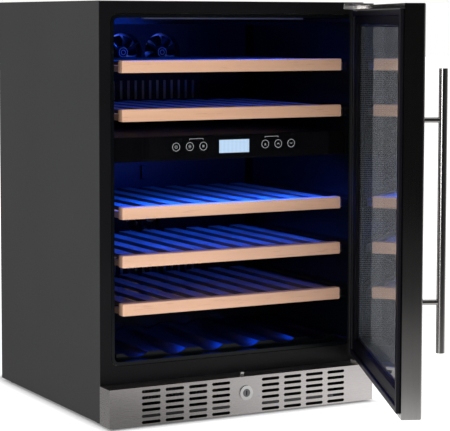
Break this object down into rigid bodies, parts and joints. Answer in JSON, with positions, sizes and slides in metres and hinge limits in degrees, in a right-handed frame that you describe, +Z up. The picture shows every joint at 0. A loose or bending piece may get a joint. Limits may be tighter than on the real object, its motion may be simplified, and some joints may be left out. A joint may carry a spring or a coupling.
{
  "type": "wine cooler",
  "caption": "Under-counter dual-zone wine cooler with a framed glass door, bar handle, sliding slatted wooden shelves and a slotted kickplate with a lock",
  "frame": {"origin": "floor level, midway between the four foot pads", "axes": "+X towards the hinge side, -Y out of the front, +Z up"},
  "size_m": [0.605, 1.0827, 0.82],
  "materials": {
    "body_paint": "matte",
    "frame_black": "satin",
    "zinc_steel": "satin",
    "foam": "matte",
    "liner_plastic": "satin",
    "black_plastic": "matte",
    "fascia_gloss": "gloss",
    "display": "gloss",
    "circuit": "satin",
    "light_cover": "satin",
    "wood": "satin",
    "brushed_steel": "satin",
    "chrome": "polished",
    "aluminium": "satin",
    "compressor_paint": "satin",
    "copper": "satin",
    "rubber": "matte",
    "gasket": "satin",
    "glass_clear": "gloss",
    "glass_tinted": "gloss"
  },
  "bodies": {
    "cabinet": {"outer_shell": "body_paint", "back_panel": "zinc_steel", "base_pan": "frame_black", "insulation_foam": "foam", "inner_liner": "liner_plastic", "front_frame": "frame_black", "shelf_rails": "brushed_steel", "duct_cover_upper": "black_plastic", "duct_cover_lower": "black_plastic", "evaporators": "aluminium", "fan_frames": "black_plastic", "zone_divider": "liner_plastic", "control_fascia": "fascia_gloss", "display_window": "display", "control_board": "circuit", "led_strips": "light_cover", "temp_sensors": "black_plastic", "bottle_cradle": "liner_plastic", "compressor": "compressor_paint", "compressor_mounts": "rubber", "condenser": "aluminium", "condenser_fan_frame": "black_plastic", "refrigerant_pipes": "copper", "drip_tray": "black_plastic", "power_inlet": "black_plastic", "machine_cover": "zinc_steel", "kickplate": "brushed_steel", "lock_housing": "chrome", "top_hinge": "brushed_steel", "bottom_hinge": "brushed_steel", "hinge_screws": "chrome"},
    "door": {"door_frame": "brushed_steel", "door_core": "black_plastic", "door_gasket": "gasket", "glass_outer": "glass_tinted", "glass_inner": "glass_clear", "glass_spacer": "aluminium", "handle_bar": "brushed_steel", "handle_posts": "brushed_steel"},
    "shelf_1": {"shelf_1": "wood"},
    "shelf_2": {"shelf_2": "wood"},
    "shelf_3": {"shelf_3": "wood"},
    "shelf_4": {"shelf_4": "wood"},
    "shelf_5": {"shelf_5": "wood"},
    "lock_plug": {"lock_plug": "chrome"},
    "lock_bolt": {"lock_bolt": "zinc_steel"},
    "fan_rotor_1": {"fan_rotor_1": "black_plastic"},
    "fan_rotor_2": {"fan_rotor_2": "black_plastic"},
    "fan_rotor_3": {"fan_rotor_3": "black_plastic"},
    "condenser_fan_rotor": {"condenser_fan_rotor": "black_plastic"},
    "button_1": {"button_1": "fascia_gloss"},
    "button_2": {"button_2": "fascia_gloss"},
    "button_3": {"button_3": "fascia_gloss"},
    "button_4": {"button_4": "fascia_gloss"},
    "button_5": {"button_5": "fascia_gloss"},
    "button_6": {"button_6": "fascia_gloss"},
    "foot_1": {"foot_1": "black_plastic"},
    "foot_2": {"foot_2": "black_plastic"},
    "foot_3": {"foot_3": "black_plastic"},
    "foot_4": {"foot_4": "black_plastic"}
  },
  "joints": [
    {"name": "door_hinge", "type": "hinge", "parent": "cabinet", "child": "door", "pos_m": [0.285, -0.284, 0], "axis": [0, 0, 1], "range_deg": [-65.7, 44.3]},
    {"name": "shelf_1_slide", "type": "slide", "parent": "cabinet", "child": "shelf_1", "axis": [0, -1, 0], "range_m": [0, 0.076]},
    {"name": "shelf_2_slide", "type": "slide", "parent": "cabinet", "child": "shelf_2", "axis": [0, -1, 0], "range_m": [0, 0.076]},
    {"name": "shelf_3_slide", "type": "slide", "parent": "cabinet", "child": "shelf_3", "axis": [0, -1, 0], "range_m": [0, 0.076]},
    {"name": "shelf_4_slide", "type": "slide", "parent": "cabinet", "child": "shelf_4", "axis": [0, -1, 0], "range_m": [0, 0.076]},
    {"name": "shelf_5_slide", "type": "slide", "parent": "cabinet", "child": "shelf_5", "axis": [0, -1, 0], "range_m": [0, 0.076]},
    {"name": "lock_plug_turn", "type": "hinge", "parent": "cabinet", "child": "lock_plug", "pos_m": [0, -0.29, 0.0465], "axis": [0, 1, 0], "range_deg": [0, 90]},
    {"name": "lock_bolt_slide", "type": "slide", "parent": "cabinet", "child": "lock_bolt", "axis": [0, 0, 1], "range_m": [0, 0.008]},
    {"name": "fan_rotor_1_spin", "type": "hinge", "parent": "cabinet", "child": "fan_rotor_1", "pos_m": [-0.047, 0.1775, 0.713], "axis": [0, 1, 0], "continuous": true},
    {"name": "fan_rotor_2_spin", "type": "hinge", "parent": "cabinet", "child": "fan_rotor_2", "pos_m": [0.047, 0.1775, 0.713], "axis": [0, 1, 0], "continuous": true},
    {"name": "fan_rotor_3_spin", "type": "hinge", "parent": "cabinet", "child": "fan_rotor_3", "pos_m": [0, 0.1775, 0.352], "axis": [0, 1, 0], "continuous": true},
    {"name": "condenser_fan_rotor_spin", "type": "hinge", "parent": "cabinet", "child": "condenser_fan_rotor", "pos_m": [-0.12, -0.108, 0.054], "axis": [0, 1, 0], "continuous": true},
    {"name": "button_1_press", "type": "slide", "parent": "cabinet", "child": "button_1", "axis": [0, 1, 0], "range_m": [0, 0.0008], "stiffness_N_per_m": 800},
    {"name": "button_2_press", "type": "slide", "parent": "cabinet", "child": "button_2", "axis": [0, 1, 0], "range_m": [0, 0.0008], "stiffness_N_per_m": 800},
    {"name": "button_3_press", "type": "slide", "parent": "cabinet", "child": "button_3", "axis": [0, 1, 0], "range_m": [0, 0.0008], "stiffness_N_per_m": 800},
    {"name": "button_4_press", "type": "slide", "parent": "cabinet", "child": "button_4", "axis": [0, 1, 0], "range_m": [0, 0.0008], "stiffness_N_per_m": 800},
    {"name": "button_5_press", "type": "slide", "parent": "cabinet", "child": "button_5", "axis": [0, 1, 0], "range_m": [0, 0.0008], "stiffness_N_per_m": 800},
    {"name": "button_6_press", "type": "slide", "parent": "cabinet", "child": "button_6", "axis": [0, 1, 0], "range_m": [0, 0.0008], "stiffness_N_per_m": 800},
    {"name": "foot_1_height", "type": "slide", "parent": "cabinet", "child": "foot_1", "axis": [0, 0, -1], "range_m": [0, 0.02]},
    {"name": "foot_2_height", "type": "slide", "parent": "cabinet", "child": "foot_2", "axis": [0, 0, -1], "range_m": [0, 0.02]},
    {"name": "foot_3_height", "type": "slide", "parent": "cabinet", "child": "foot_3", "axis": [0, 0, -1], "range_m": [0, 0.02]},
    {"name": "foot_4_height", "type": "slide", "parent": "cabinet", "child": "foot_4", "axis": [0, 0, -1], "range_m": [0, 0.02]}
  ],
  "couplings": [
    {"joint": "lock_bolt_slide", "follows": "lock_plug_turn", "m_per_rad": 0.00509}
  ]
}
